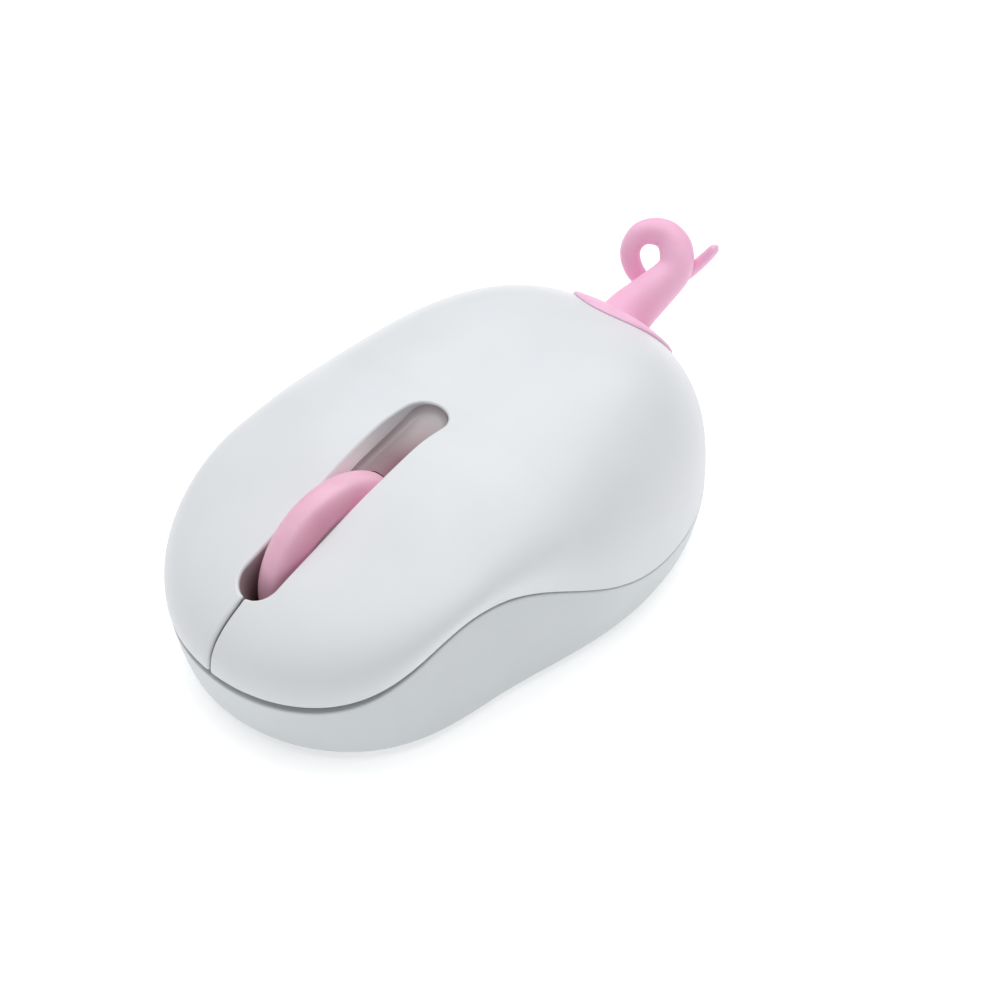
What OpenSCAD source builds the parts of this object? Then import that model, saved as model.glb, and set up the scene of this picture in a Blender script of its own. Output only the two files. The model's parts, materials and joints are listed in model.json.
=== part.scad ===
// Wireless optical mouse with a pink curled tail.
// +Z up, z = 0 is the surface the glide feet rest on.
// Front (buttons and wheel) is -Y, tail is +Y, the user's left side is +X.
// The origin is the bottom centre of the box around the whole object.

/* [Shell] */
// Half width of the plan outline before the waist is taken in (mm)
half_w = 29.9; // [27:0.1:33]
// Plan length from the widest section forward (mm)
front_l = 29.42; // [26:0.1:34]
// Plan length from the widest section back (mm)
rear_l = 60; // [54:0.1:64]
// Height of the shell over the widest section (mm)
crown_h = 27.42; // [24:0.1:31]
// Rise of the back from front to rear (mm per 48 mm)
back_rise = 12; // [8:0.1:14]
// Extra hump of the back (mm per 48 mm squared)
back_hump = 6.29; // [2:0.1:8]
// How far the waist is pinched at the parting line (fraction)
waist_pinch = 0.186; // [0.05:0.005:0.3]
// How far the waist is pinched at the base (fraction)
base_pinch = 0.113; // [0:0.005:0.2]
// How high the parting line rises at the waist (mm)
parting_rise = 10.39; // [4:0.1:12]
// Wall thickness of the shells (mm)
wall = 1.7; // [1.2:0.1:2.2]
// Gap between the cover, the buttons and the lower shell (mm)
seam = 0.12; // [0.08:0.01:0.3]

/* [Slot and wheel] */
// Width of the wheel slot (mm)
slot_w = 6.5; // [5.5:0.1:8]
// Radius of the scroll wheel at its crown (mm)
wheel_r = 13.1; // [11:0.1:13.2]
// Half width of the scroll wheel (mm)
wheel_hw = 2.9; // [2:0.1:3]
// How much the crown of the wheel falls off to its edges (mm)
wheel_crown = 3.2; // [0.5:0.1:3.4]
// Radius of the wheel axle (mm)
axle_r = 1.2; // [0.8:0.05:1.6]

/* [Tail] */
// Radius of the round flange under the tail (mm)
flange_r = 8.95; // [7:0.05:10.5]
// Thickness of the flange (mm)
flange_t = 0.6; // [0.4:0.05:1.5]
// Scale of the tail's thickness
tail_fat = 1; // [0.8:0.05:1.15]

/* [Base] */
// Height of the lower shell over the table (mm)
lift = 0.5; // [0.3:0.05:1]
// Thickness of the floor of the lower shell (mm)
floor_t = 1.8; // [1.4:0.1:2.4]

/* [Part] */
// Which sub-part to draw

/* [Hidden] */

yc = -18.57;            // widest section
yw = -19.76;            // middle of the waist
sw = 18.6;              // spread of the waist
szh = 17.7;             // spread of the rise of the parting line
kf = 2.056; kr = 2.339; // plan exponents, front and rear
ns = 3.0; nf = 2.4; nr = 2.122; // crown exponents, side, front and rear
fl = lift + floor_t;    // top of the floor
nu = 80;                // points round a ring

slot_a = 16.64;                 // slope of the slot
slot_c = [0, -22.43, 25.72];    // middle of the slot on the surface
slot_l = 38.44;                 // length along the slope
wc = [0, -24.7, 16.4];          // wheel centre
flex_y = -7.2;                  // line where the buttons flex
tail_c = [0, 35.6, 26.45];      // centre of the flange on the shell
tail_a = 50.7;                  // tilt of the tail peg back from upright
bat = [-13, 7, 7.9];            // middle of the cell
rec = [9.5, 26];                // middle of the stored receiver
sen = [0, 0];                   // middle of the optical sensor
case_xy = [[22.3, 8], [-22.3, 8], [0, 35.4]];
pcb_xy = [[15.8, -30.2], [-15.8, -30.2], [15.8, 9.6]];
sw_xy = [11, -35.8];          // left and right switch
mid_xy = [12.5, -22];           // middle switch

function sgp(c, e) = sign(c) * pow(abs(c), e);
function sm(a, b, x) = let (t = min(1, max(0, (x - a) / (b - a)))) t * t * (3 - 2 * t);
function unit(v) = v / norm(v);
// height of the parting line at plan angle u
function zp(u) = 8.53 - 1.51 * sin(u)
  + parting_rise * exp(-pow((yc + (sin(u) < 0 ? front_l : rear_l) * sin(u) - yw) / szh, 2));
function kk(u) = kf + (kr - kf) * 0.5 * (1 + sin(u));
function waist(x, y, q) = x * (1 - q * exp(-pow((y - yw) / sw, 2))) * (1 + 0.103 * (y - yc) / 50);
// lower shell, s = 0 at the base, 1 at the parting line
function lower(u, s, er = 1.5) = let (
  e = 2 / kk(u), c = sgp(cos(u), e), n = sgp(sin(u), e), f = sin(u) < 0,
  bl = pow(s, 0.534), z = zp(u) * s,
  x0 = c * (half_w - 2.4 * (1 - bl)),
  y0 = n * (f ? front_l - 2.61 * (1 - bl) : rear_l - 0.17 * (1 - bl)),
  fil = z < er ? er - sqrt(max(0, er * er - (er - z) * (er - z))) : 0,
  r = norm([x0, y0]) + 1e-9, k = 1 - fil / r, y = y0 * k + yc,
  q = base_pinch * (1 - s) + waist_pinch * s)
  [waist(x0 * k, y, q), y, lift + (zp(u) - lift) * s];
// swell of the crown behind the wheel and its dip before the tail
function swell(y) = 2.1 * exp(-pow((y + 12.4) / (y < -12.4 ? 14.45 : 7.3), 2))
  - 0.91 * exp(-pow((y - 21) / 11.1, 2));
// upper shell, v = 0 at the parting line, 1 at the crown
function upper(u, v) = let (
  e = 2 / kk(u), c = half_w * sgp(cos(u), e),
  n0 = (sin(u) < 0 ? front_l : rear_l) * sgp(sin(u), e),
  sf = sin(u) < 0 ? sin(u) * sin(u) : 0, sr = sin(u) < 0 ? 0 : sin(u) * sin(u),
  n = ns * (1 - sf - sr) + nf * sf + nr * sr,
  rho = pow(cos(90 * v), 2 / n), zeta = pow(sin(90 * v), 2 / n),
  y = n0 * rho + yc,
  h = crown_h + back_rise * (y - yc) / 48 + back_hump * pow((y - yc) / 48, 2),
  q = waist_pinch * pow(1 - zeta, 0.8))
  [let (w = 1 - q * exp(-pow((y - yw + 0.48 * zeta) / sw, 2)))
     c * rho * w * (1 + 0.103 * (y - yc) / 50), y,
     zp(u) + (h - zp(u)) * zeta + swell(y) * pow(zeta, 6.9)];
// the same, moved out along its own normal by d
function up_off(u, v, d) = v > 0.999 ? upper(u, 1) + [0, -0.334, 0.943] * d :
  let (p = upper(u, v), a = upper(u + 0.4, v) - upper(u - 0.4, v),
       b = upper(u, v + 0.004) - (v > 0.004 ? upper(u, v - 0.004) : p))
  p + unit(cross(a, b)) * d;
function lo_off(u, s, d) = let (p = lower(u, s, 0.01),
  a = lower(u + 0.4, s, 0.01) - lower(u - 0.4, s, 0.01), m = unit([a[1], -a[0], 0]))
  p + m * d;
// gap below the buttons, widest at the front
function gap(y) = seam + 0.0145 * max(0, flex_y - y) + 0.4 * sm(-30, -48, y);

// closed skin over rings of nu points with a pole at each end
module skin(rings, p0, p1) {
  n = len(rings);
  pts = concat([for (r = rings) for (p = r) p], [p0, p1]);
  polyhedron(points = pts, faces = concat(
    [for (i = [0:n - 2]) for (j = [0:nu - 1]) let (k = (j + 1) % nu)
      [i * nu + j, (i + 1) * nu + j, (i + 1) * nu + k]],
    [for (i = [0:n - 2]) for (j = [0:nu - 1]) let (k = (j + 1) % nu)
      [i * nu + j, (i + 1) * nu + k, i * nu + k]],
    [for (j = [0:nu - 1]) [n * nu, j, (j + 1) % nu]],
    [for (j = [0:nu - 1]) [n * nu + 1, (n - 1) * nu + (j + 1) % nu, (n - 1) * nu + j]]));
}
function uu(j) = j * 360 / nu + 0.01;
vs = [0, 0.06, 0.12, 0.19, 0.26, 0.34, 0.42, 0.5, 0.58, 0.66, 0.74, 0.82, 0.9, 0.96];
// rings shared by the solid and the shell; z of the open rim is level along u
function up_ring(v, d) = [for (j = [0:nu - 1]) up_off(uu(j), v, d)];
module upper_solid(d) {
  skin(concat([[for (j = [0:nu - 1]) let (p = up_off(uu(j), 0, d)) [p[0], p[1], p[2] - 3]]],
    [for (v = vs) up_ring(v, d)]), [0, 0, 6], up_off(0, 1, d));
}
module upper_shell() {
  n = len(vs);
  skin(concat([for (i = [0:n - 1]) up_ring(vs[n - 1 - i], -wall)],
    [for (v = vs) up_ring(v, 0)]), up_off(0, 1, -wall), up_off(0, 1, 0));
}
ls = [0.04, 0.1, 0.2, 0.35, 0.55, 0.8];
module lower_shell() {
  rim = function(p, y) [p[0], p[1], p[2] - gap(y)];
  skin(concat(
    [for (s = [0, 0.03]) [for (j = [0:nu - 1]) lower(uu(j), s)]],
    [for (s = ls) [for (j = [0:nu - 1]) lower(uu(j), s)]],
    [[for (j = [0:nu - 1]) let (p = lower(uu(j), 1)) rim(p, p[1])]],
    [[for (j = [0:nu - 1]) let (p = lo_off(uu(j), 1, -wall)) rim(p, p[1])]],
    [for (s = [0.7, 0.4]) [for (j = [0:nu - 1]) lo_off(uu(j), s, -wall)]],
    [[for (j = [0:nu - 1]) let (p = lo_off(uu(j), 0.15, -wall)) [p[0], p[1], fl]]]),
    [0, 0, lift], [0, 0, fl]);
}
module slot_prism(w, l, z0, z1) {
  translate(slot_c) rotate([slot_a, 0, 0]) translate([0, 0, z0])
    linear_extrude(z1 - z0) union() {
      translate([-w / 2, -(l - w) / 2]) square([w, l - w]);
      for (s = [-1, 1]) translate([0, s * (l - w) / 2]) circle(d = w, $fn = 40);
    }
}
module tail_frame() { translate(tail_c) rotate([-tail_a, 0, 0]) children(); }
module stadium(x, y, h, r) {
  linear_extrude(h) union() {
    square([x - 2 * r, y], center = true);
    square([x, y - 2 * r], center = true);
    for (i = [-1, 1]) for (j = [-1, 1])
      translate([i * (x / 2 - r), j * (y / 2 - r)]) circle(r = r, $fn = 24);
  }
}
module boxc(c, s) { translate([c[0] - s[0] / 2, c[1] - s[1] / 2, c[2]]) cube(s); }

module cover_raw() {
  difference() {
    union() {
      upper_shell();
      intersection() {
        slot_prism(slot_w + 2, slot_l + 2, -5, 4);
        upper_solid(-0.4);
      }
    }
    slot_prism(slot_w, slot_l, -12, 8);
  }
}
module top_cover() {
  color([0.93, 0.94, 0.95]) resize([0, 0, 0]) difference() {
    union() {
      intersection() {
        cover_raw();
        translate([-60, flex_y + seam / 2, -10]) cube([120, 80, 80]);
      }
      for (p = case_xy) intersection() {
        difference() {
          translate([p[0], p[1], 6.2]) cylinder(r = 2.7, h = 40, $fn = 32);
          translate([p[0], p[1], 6]) cylinder(r = 0.95, h = 10, $fn = 24);
        }
        upper_solid(-0.4);
      }
      intersection() {
        tail_frame() translate([0, 0, -3.4]) cylinder(r = 5.4, h = 4.2, $fn = 40);
        upper_solid(-0.4);
      }
    }
    tail_frame() translate([0, 0, -8]) {
      cylinder(r = 3.06, h = 16, $fn = 40);
      cylinder(r = 5, h = 4.6, $fn = 48);
    }
  }
}
module button(s) {
  resize([0, 0, 0]) union() {
    intersection() {
      cover_raw();
      translate([s > 0 ? 0.17 : -60.17, flex_y - 80 - seam / 2, -10]) cube([60, 80, 80]);
    }
    intersection() {
      translate([s * sw_xy[0], sw_xy[1], 13.72]) cylinder(r = 1.6, h = 30, $fn = 28);
      upper_solid(-0.4);
    }
  }
}
module button_left() { color([0.93, 0.94, 0.95]) button(1); }
module button_right() { color([0.93, 0.94, 0.95]) button(-1); }

module bottom_shell() {
  color([0.88, 0.9, 0.9]) resize([0, 0, 0]) difference() {
    union() {
      lower_shell();
      for (p = case_xy) translate([p[0], p[1], fl - 0.2]) cylinder(r = 2.7, h = 3.9 - 0.2, $fn = 32);
      for (p = pcb_xy) translate([p[0], p[1], fl - 0.2]) cylinder(r = 2.2, h = 5 - fl + 0.2, $fn = 28);
      // walls round the cell
      boxc([bat[0], 6.15, fl - 0.2], [12.9, 51, 6]);
      // pocket for the receiver
      boxc([rec[0], rec[1], fl - 0.2], [18.2, 9.7, 17]);
    }
    // cell and its door
    boxc([bat[0], 7.25, lift - 1], [11.2, 46.5, 12]);
    boxc([bat[0], 6.15, fl], [11.3, 49.4, 12]);
    for (s = [-1, 1]) boxc([bat[0] + s * 3.3, 31.55, fl + 0.05], [2.9, 2.7, 2.55]);
    // receiver
    boxc([rec[0], rec[1], lift - 1], [16.6, 8.1, 30]);
    // light path of the sensor
    translate([sen[0], sen[1], lift - 1]) stadium(8.4, 12.4, 6, 3);
    // power slider
    translate([13, -9, lift - 1]) stadium(4.4, 8.4, 6, 1.2);
    translate([13, -9, lift - 1]) stadium(6.4, 11, 1.5, 2);
    for (p = case_xy) translate([p[0], p[1], lift - 1]) {
      cylinder(r = 1.25, h = 10, $fn = 24);
      cylinder(r = 2.15, h = 3.3, $fn = 28);
    }
    for (p = pcb_xy) translate([p[0], p[1], fl + 0.3]) cylinder(r = 0.8, h = 6, $fn = 20);
    // corners that would touch the cover
    translate([18.6, 30.85, 13.8]) cylinder(r = 1.8, h = 8, $fn = 4);
    translate([-19.45, 31.65, 7]) cylinder(r = 1.6, h = 3, $fn = 4);
    foot(1, 0.06, lift - 1, 1.4);
    foot(-1, 0.06, lift - 1, 1.4);
  }
}
function base_pt(u, d) = let (p = lo_off(u, 0.2, d)) [p[0], p[1]];
module foot(s, g, z, h) {
  translate([0, 0, z]) linear_extrude(h) intersection() {
    difference() {
      polygon([for (i = [0:71]) base_pt(i * 5 + 0.01, -3.6 + g)]);
      polygon([for (i = [0:71]) base_pt(i * 5 + 0.01, -7.2 - g)]);
    }
    translate([-18 - g, s > 0 ? 31 - g : -71 + g]) square([36 + 2 * g, 33.5]);
  }
}
module glide_foot_front() { color([0.2, 0.2, 0.21]) foot(-1, 0, 0, lift + 0.38); }
module glide_foot_rear() { color([0.2, 0.2, 0.21]) foot(1, 0, 0, lift + 0.38); }

module about_wheel() { translate(wc) rotate([0, 90, 0]) children(); }
function crown(x) = wheel_r - wheel_crown * pow(abs(x / wheel_hw), 3);
module wheel_tyre() {
  color([0.94, 0.7, 0.82]) about_wheel() rotate_extrude($fn = 72)
    polygon(concat([[9.25, -wheel_hw + 0.25], [9.5, -wheel_hw]],
      [for (i = [-7:7]) [crown(i * wheel_hw / 7), i * wheel_hw / 7]],
      [[9.5, wheel_hw], [9.25, wheel_hw - 0.25]]));
}
module wheel_hub() {
  color([0.9, 0.9, 0.9]) about_wheel() difference() {
    union() {
      translate([0, 0, -wheel_hw + 0.35]) cylinder(r = 9.22, h = 2 * wheel_hw - 0.7, $fn = 60);
      translate([0, 0, -11.6]) cylinder(r = axle_r, h = 18.4, $fn = 32);
    }
    for (i = [0:5]) rotate([0, 0, i * 60]) translate([5.6, 0, -4]) cylinder(r = 1.7, h = 8, $fn = 24);
  }
}
module encoder_disc() {
  color([0.12, 0.12, 0.13]) about_wheel() translate([0, 0, -11.1]) linear_extrude(0.9) difference() {
    circle(r = 5, $fn = 60);
    circle(r = axle_r + 0.01, $fn = 32);
    for (i = [0:11]) rotate(i * 30) translate([2.9, -0.45]) square([1.5, 0.9]);
  }
}
module wheel_carrier() {
  color([0.2, 0.21, 0.23]) difference() {
    union() {
      for (s = [-1, 1]) {
        boxc([s * 5.4, -25.1, 13.35], [1.4, 27.6, 1.85]);
        boxc([s * 5.4, -24.5, 13.35], [1.4, 6.4, 5.4]);
      }
      boxc([0, -38.45, 13.35], [12.2, 0.9, 1.85]);
      boxc([9.6, -24.5, 13.75], [8.4, 3, 1.1]);
    }
    about_wheel() translate([0, 0, -8]) cylinder(r = axle_r + 0.05, h = 16, $fn = 32);
  }
}
// point on the middle plane, l along the slot and d below its edge
function sl(l, d) = [slot_c[1] + l * cos(slot_a) + d * sin(slot_a),
  slot_c[2] + l * sin(slot_a) - d * cos(slot_a)];
// floor of the slot behind the wheel, its scooped end and its leg
module wheel_well() {
  color([0.8, 0.81, 0.82]) intersection() {
    translate([-3.2, 0, 0]) rotate([90, 0, 90]) linear_extrude(6.4) polygon(concat(
      [for (i = [0:6]) sl(14 + 22 * sin(i * 15 / 6), -20.6 + 22 * cos(i * 15 / 6))],
      [sl(19.7, 3.6), sl(18.2, 3.6), sl(14.8, 2.9), sl(10.6, 2.9), [-9.4, 17], [-9.6, 6.25], [-12.6, 6.25]],
      [for (i = [0:8]) let (a = -28 + i * 75.03 / 8)
        [wc[1] + (wheel_r + 0.5) * cos(a), wc[2] + (wheel_r + 0.5) * sin(a)]]));
    slot_prism(slot_w - 0.1, slot_l - 0.1, -30, 8);
  }
}

function cat(a, b, c, d, t) = 0.5 * (2 * b + (c - a) * t + (2 * a - 5 * b + 4 * c - d) * t * t
  + (3 * b - a - 3 * c + d) * t * t * t);
// middle line of the curl with its radius
curl = [[0, 34.0, 25.2, 4.5], [0.1, 36.3, 27.2, 3.85], [1.6, 39.7, 30.1, 3.2], [2.75, 43.1, 33.0, 2.7],
  [1.7, 44.6, 35.5, 2.6], [-0.2, 44.8, 37.0, 2.3], [-2.1, 44.0, 37.4, 2.08], [-3.8, 42.7, 36.8, 1.85],
  [-4.5, 41.4, 35.0, 1.6], [-4.3, 41.1, 32.7, 1.55], [-3.3, 41.8, 30.0, 1.45], [-1.9, 43.3, 28.2, 1.22],
  [0.9, 45.2, 28.9, 1.1], [3.6, 46.3, 31.9, 1.0], [5.7, 46.9, 34.9, 0.9], [6.9, 47.15, 36.8, 0.78],
  [7.3, 47.25, 37.35, 0.35]];
nc = len(curl);
function cpt(q) = let (i = min(nc - 2, floor(q)), t = q - i,
  b = curl[i], c = curl[i + 1], a = i > 0 ? curl[i - 1] : 2 * b - c,
  d = i < nc - 2 ? curl[i + 2] : 2 * c - b) cat(a, b, c, d, t);
function xyz(p) = [p[0], p[1], p[2]];
module curl_body(m = 14, k = 3) {
  ref = unit([0.53, -0.54, 0.656]);
  st = (nc - 1) * k;
  rows = [for (i = [0:st]) let (q = i / k, p = cpt(q),
    t = unit(xyz(cpt(min(nc - 1, q + 0.05))) - xyz(cpt(max(0, q - 0.05)))),
    n = unit(cross(t, ref)), b = cross(n, t))
    for (j = [0:m - 1]) xyz(p) + p[3] * tail_fat * (cos(j * 360 / m) * n + sin(j * 360 / m) * b)];
  e = len(rows);
  polyhedron(points = concat(rows, [xyz(cpt(0)), xyz(cpt(nc - 1)) + 0.25 * unit(xyz(cpt(nc - 1)) - xyz(cpt(nc - 1.3)))]),
    faces = concat(
      [for (i = [0:st - 1]) for (j = [0:m - 1]) let (l = (j + 1) % m)
        [i * m + j, (i + 1) * m + l, (i + 1) * m + j]],
      [for (i = [0:st - 1]) for (j = [0:m - 1]) let (l = (j + 1) % m)
        [i * m + j, i * m + l, (i + 1) * m + l]],
      [for (j = [0:m - 1]) [e, (j + 1) % m, j]],
      [for (j = [0:m - 1]) [e + 1, st * m + j, st * m + (j + 1) % m]]));
}
module tail() {
  color([0.94, 0.7, 0.82]) resize([0, 0, 0]) union() {
    difference() {
      union() {
        intersection() {
          tail_frame() translate([0, 0, -8]) cylinder(r = flange_r, h = 16, $fn = 60);
          upper_solid(flange_t);
        }
        curl_body();
      }
      upper_solid(0.03);
    }
    tail_frame() translate([0, 0, -5.4]) cylinder(r = 3, h = 6.1, $fn = 40);
  }
}
module tail_retainer() {
  color([0.7, 0.72, 0.74]) tail_frame() translate([0, 0, -4.3]) difference() {
    cylinder(r = 4.8, h = 0.8, $fn = 48);
    translate([0, 0, -1]) cylinder(r = 3.02, h = 4, $fn = 40);
  }
}

module main_pcb() {
  color([0.1, 0.36, 0.2]) translate([0, 0, 5.02]) difference() {
    linear_extrude(1.2) difference() {
      polygon([[-9, -40.5], [9, -40.5], [17.6, -36], [18.6, -20], [18.6, 12.5], [-6, 12.5],
        [-6, -20.6], [-18, -20.6], [-17.6, -36]]);
      translate([-4.6, -37]) square([9.2, 22.5]);
      translate([-2, -5]) square([4, 8]);
    }
    for (p = pcb_xy) translate([p[0], p[1], -1]) cylinder(r = 1.1, h = 4, $fn = 24);
  }
}
module micro(c, s) {
  difference() {
    boxc([c[0], c[1], 6.25], [s[0], s[1], 6.45]);
    boxc([c[2], c[3], 10.5], [1.7, 2.7, 4]);
  }
}
module switch_left() { color([0.13, 0.13, 0.14]) micro([sw_xy[0], sw_xy[1], sw_xy[0], sw_xy[1]], [12, 5.8]); }
module switch_right() { color([0.13, 0.13, 0.14]) micro([-sw_xy[0], sw_xy[1], -sw_xy[0], sw_xy[1]], [12, 5.8]); }
module switch_middle() { color([0.13, 0.13, 0.14]) micro([mid_xy[0], mid_xy[1], mid_xy[0], -24.5], [5.8, 12]); }
module plunger(x, y) { boxc([x, y, 11.4], [1.6, 2.6, 2.25]); }
module plunger_left() { color([0.85, 0.2, 0.2]) plunger(sw_xy[0], sw_xy[1]); }
module plunger_right() { color([0.85, 0.2, 0.2]) plunger(-sw_xy[0], sw_xy[1]); }
module plunger_middle() { color([0.85, 0.2, 0.2]) plunger(mid_xy[0], -24.5); }

module ir_emitter() {
  color([0.75, 0.8, 0.9]) union() {
    boxc([-13.2, -24.5, 6.25], [2.4, 4.2, 7.2]);
    translate([-12.1, -24.5, 12.2]) sphere(r = 0.7, $fn = 24);
  }
}
module ir_detector() {
  color([0.09, 0.09, 0.1]) union() {
    boxc([-8.1, -24.5, 6.25], [2.4, 4.2, 7.2]);
    translate([-9.2, -24.5, 12.2]) sphere(r = 0.7, $fn = 24);
  }
}
module optical_sensor() {
  color([0.1, 0.1, 0.11]) union() {
    boxc([0, 0, 6.25], [9.4, 11.6, 3]);
    for (s = [-1, 1]) for (i = [-1.5:1:1.5]) boxc([s * 5.1, i * 2.2, 6.25], [1, 0.6, 0.3]);
  }
}
module sensor_lens() {
  color([0.85, 0.9, 0.95]) union() {
    boxc([0, 0.5, 3.2], [11, 16, 1.75]);
    translate([0, -1.6, 3.2]) intersection() {
      sphere(r = 2, $fn = 32);
      translate([-3, -3, -1]) cube([6, 6, 2]);
    }
  }
}
module red_led() {
  color([0.85, 0.25, 0.25]) translate([0, 7.6, 8]) rotate([-90, 0, 0]) union() {
    cylinder(r = 1.5, h = 3.4, $fn = 32);
    translate([0, 0, 3.4]) cylinder(r = 1.8, h = 0.9, $fn = 32);
    sphere(r = 1.5, $fn = 32);
  }
}
module controller_chip() {
  color([0.12, 0.12, 0.13]) translate([12, 0, 0]) union() {
    boxc([0, 0, 6.25], [5, 9, 1.4]);
    for (s = [-1, 1]) for (i = [-3:1:3]) boxc([s * 2.9, i * 1.2, 6.25], [0.9, 0.5, 0.3]);
  }
}
module crystal() {
  color([0.78, 0.78, 0.8]) translate([9.2, -11.5, 6.25]) stadium(3.6, 7.6, 3.2, 1.75);
}
module capacitor() {
  color([0.15, 0.16, 0.3]) translate([11, 7.4, 6.25]) union() {
    cylinder(r = 2.4, h = 6.4, $fn = 36);
    translate([0, 0, 6.4]) cylinder(r1 = 2.4, r2 = 2.1, h = 0.3, $fn = 36);
  }
}
module battery_cell() {
  color([0.25, 0.45, 0.6]) translate([bat[0], -15.4, bat[2]]) rotate([-90, 0, 0]) union() {
    cylinder(r = 5.2, h = 43.3, $fn = 48);
    cylinder(r = 1.9, h = 44.3, $fn = 32);
  }
}
module battery_spring() {
  m = 8; st = 84;
  pc = function(i) let (t = i / st, r = 3.4 - 1.4 * t)
    [bat[0] + r * cos(t * 1080), -17.75 + 2.1 * t, bat[2] + r * sin(t * 1080)];
  rows = [for (i = [0:st]) let (p = pc(i), t = unit(pc(i + 0.1) - pc(i - 0.1)), n = unit(cross(t, [0, 1, 0])), b = cross(n, t))
    for (j = [0:m - 1]) p + 0.27 * (cos(j * 360 / m) * n + sin(j * 360 / m) * b)];
  e = len(rows);
  color([0.8, 0.8, 0.82]) polyhedron(points = concat(rows, [pc(0), pc(st)]), faces = concat(
    [for (i = [0:st - 1]) for (j = [0:m - 1]) let (l = (j + 1) % m) [i * m + j, (i + 1) * m + l, (i + 1) * m + j]],
    [for (i = [0:st - 1]) for (j = [0:m - 1]) let (l = (j + 1) % m) [i * m + j, i * m + l, (i + 1) * m + l]],
    [for (j = [0:m - 1]) [e, (j + 1) % m, j]],
    [for (j = [0:m - 1]) [e + 1, st * m + j, st * m + (j + 1) % m]]));
}
module contact_minus() { color([0.8, 0.8, 0.82]) boxc([bat[0], -18.3, 2.6], [9.6, 0.4, 9.6]); }
module contact_plus() {
  color([0.8, 0.8, 0.82]) union() {
    boxc([bat[0], 29.7, 4.6], [9.6, 0.4, 7.6]);
    translate([bat[0], 29.5, bat[2]]) rotate([90, 0, 0]) cylinder(r1 = 2.6, r2 = 1.8, h = 0.5, $fn = 32);
  }
}
module battery_door() {
  color([0.88, 0.9, 0.9]) union() {
    boxc([bat[0], 7.25, lift], [10.9, 46.2, 1.5]);
    for (s = [-1, 1]) {
      boxc([bat[0] + s * 3.3, 29.3, lift + 1.4], [2.2, 1.6, 0.9]);
      boxc([bat[0] + s * 3.3, 30.8, fl + 0.1], [2.2, 3.6, 0.7]);
    }
    boxc([bat[0], -15.2, lift + 1.4], [4, 1.1, 0.6]);
    for (i = [0:3]) boxc([bat[0], -12.6 + i * 1.3, lift - 0.2], [5, 0.5, 0.4]);
  }
}
module power_switch() { color([0.75, 0.76, 0.78]) boxc([13, -9, 3.3], [5.4, 9.4, 1.7]); }
module power_slider() {
  color([0.94, 0.7, 0.82]) union() {
    boxc([13, -11, 1.0], [3.6, 3.6, 2.2]);
    for (i = [-1:1]) boxc([13, -11 + i * 1.1, 0.75], [3.1, 0.4, 0.5]);
  }
}
module receiver_cap() {
  color([0.93, 0.94, 0.95]) translate([rec[0], rec[1], lift + 0.15]) stadium(16.2, 7.7, 6.2, 1.4);
}
module receiver_plug() {
  color([0.78, 0.79, 0.8]) difference() {
    boxc([rec[0], rec[1], lift + 6.36], [12, 4.5, 11.8]);
    boxc([rec[0], rec[1] + 0.75, lift + 8.6], [11.2, 2, 12]);
    for (s = [-1, 1]) boxc([rec[0] + s * 3, rec[1] - 1.9, lift + 13], [2, 2, 2]);
  }
}
module case_screws() {
  color([0.6, 0.61, 0.63]) union() for (p = case_xy) translate([p[0], p[1], 1.3]) difference() {
    union() {
      cylinder(r = 2.05, h = 1.45, $fn = 32);
      cylinder(r = 0.92, h = 9.5, $fn = 24);
    }
    boxc([0, 0, -0.2], [2.4, 0.5, 0.8]);
    boxc([0, 0, -0.2], [0.5, 2.4, 0.8]);
  }
}
module pcb_screws() {
  color([0.6, 0.61, 0.63]) union() for (p = pcb_xy) translate([p[0], p[1], 2.7]) difference() {
    union() {
      translate([0, 0, 3.54]) cylinder(r = 1.9, h = 1.2, $fn = 32);
      cylinder(r = 0.78, h = 3.7, $fn = 24);
    }
    boxc([0, 0, 4.2], [2.4, 0.5, 0.8]);
    boxc([0, 0, 4.2], [0.5, 2.4, 0.8]);
  }
}

bottom_shell();
top_cover();
button_left();
button_right();
wheel_tyre();
wheel_hub();
encoder_disc();
wheel_carrier();
wheel_well();
tail();
tail_retainer();
main_pcb();
switch_left();
switch_right();
switch_middle();
plunger_left();
plunger_right();
plunger_middle();
ir_emitter();
ir_detector();
optical_sensor();
sensor_lens();
red_led();
controller_chip();
crystal();
capacitor();
battery_cell();
battery_spring();
contact_minus();
contact_plus();
battery_door();
power_switch();
power_slider();
receiver_cap();
receiver_plug();
glide_foot_front();
glide_foot_rear();
case_screws();
pcb_screws();
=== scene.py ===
import json, math
import bpy, bmesh
import numpy as np
from mathutils import Vector, Matrix
from mathutils.bvhtree import BVHTree


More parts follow.
